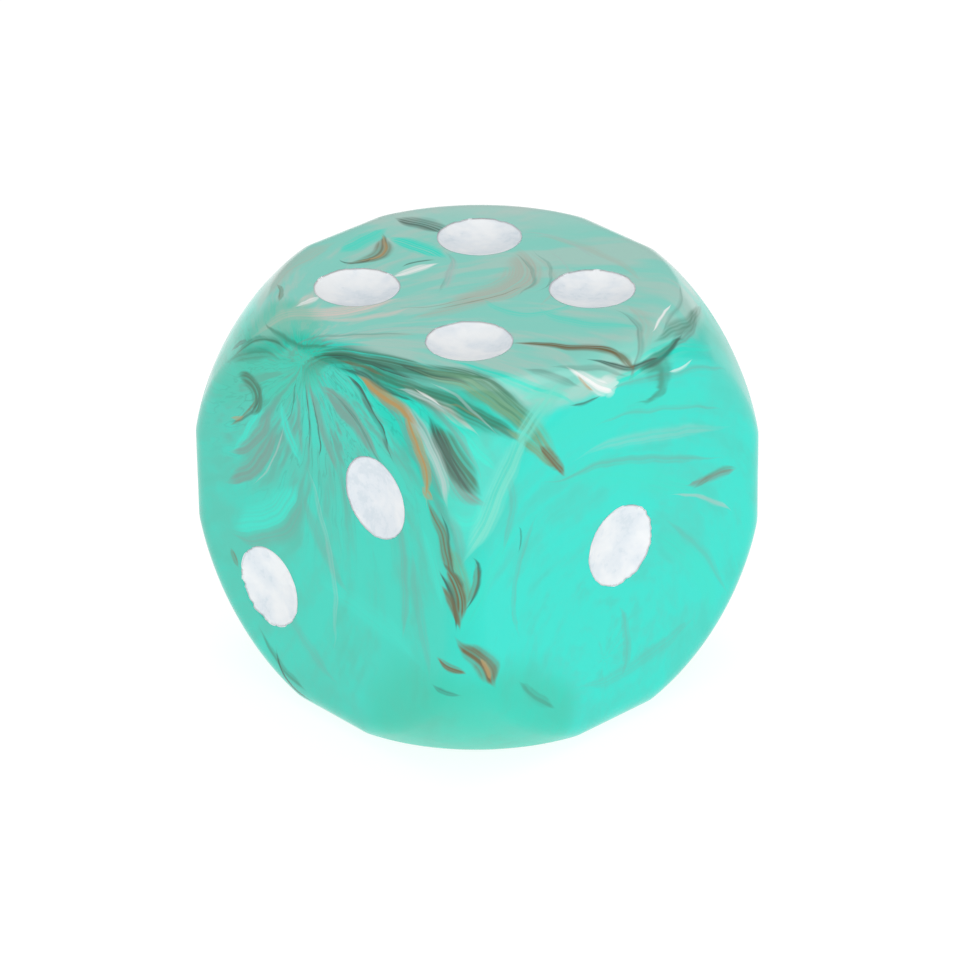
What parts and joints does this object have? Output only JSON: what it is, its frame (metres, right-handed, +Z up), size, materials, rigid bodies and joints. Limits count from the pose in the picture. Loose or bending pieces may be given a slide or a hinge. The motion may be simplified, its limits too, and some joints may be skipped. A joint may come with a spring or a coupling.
{
  "type": "pipped gaming die",
  "caption": "Cubic gaming die with ball-rounded corners, turquoise marbled resin body and white paint-filled pips on its faces, for rolling a number in a table game.",
  "frame": {"origin": "the centre of the die, halfway between each pair of opposite faces", "axes": "+Z up, out of the four-pip face; +X out of the one-pip face; -Y out of the two-pip face. The die stands on the three-pip face, -Z"},
  "size_m": [0.016, 0.016, 0.016],
  "materials": {
    "turquoise_resin": "polished turquoise resin, marbled with jade, forest green, brown, copper and white strands",
    "white_paint": "white semi-gloss paint, dished"
  },
  "bodies": {
    "root": {"die_body": "turquoise_resin", "pip_1_centre": "white_paint", "pip_2_lower_left": "white_paint", "pip_2_upper_right": "white_paint", "pip_3_centre": "white_paint", "pip_3_upper_left": "white_paint", "pip_3_lower_right": "white_paint", "pip_4_lower_left": "white_paint", "pip_4_upper_right": "white_paint", "pip_4_upper_left": "white_paint", "pip_4_lower_right": "white_paint", "pip_5_centre": "white_paint", "pip_5_lower_left": "white_paint", "pip_5_upper_right": "white_paint", "pip_5_upper_left": "white_paint", "pip_5_lower_right": "white_paint", "pip_6_lower_left": "white_paint", "pip_6_middle_left": "white_paint", "pip_6_upper_left": "white_paint", "pip_6_lower_right": "white_paint", "pip_6_middle_right": "white_paint", "pip_6_upper_right": "white_paint"}
  },
  "joints": []
}
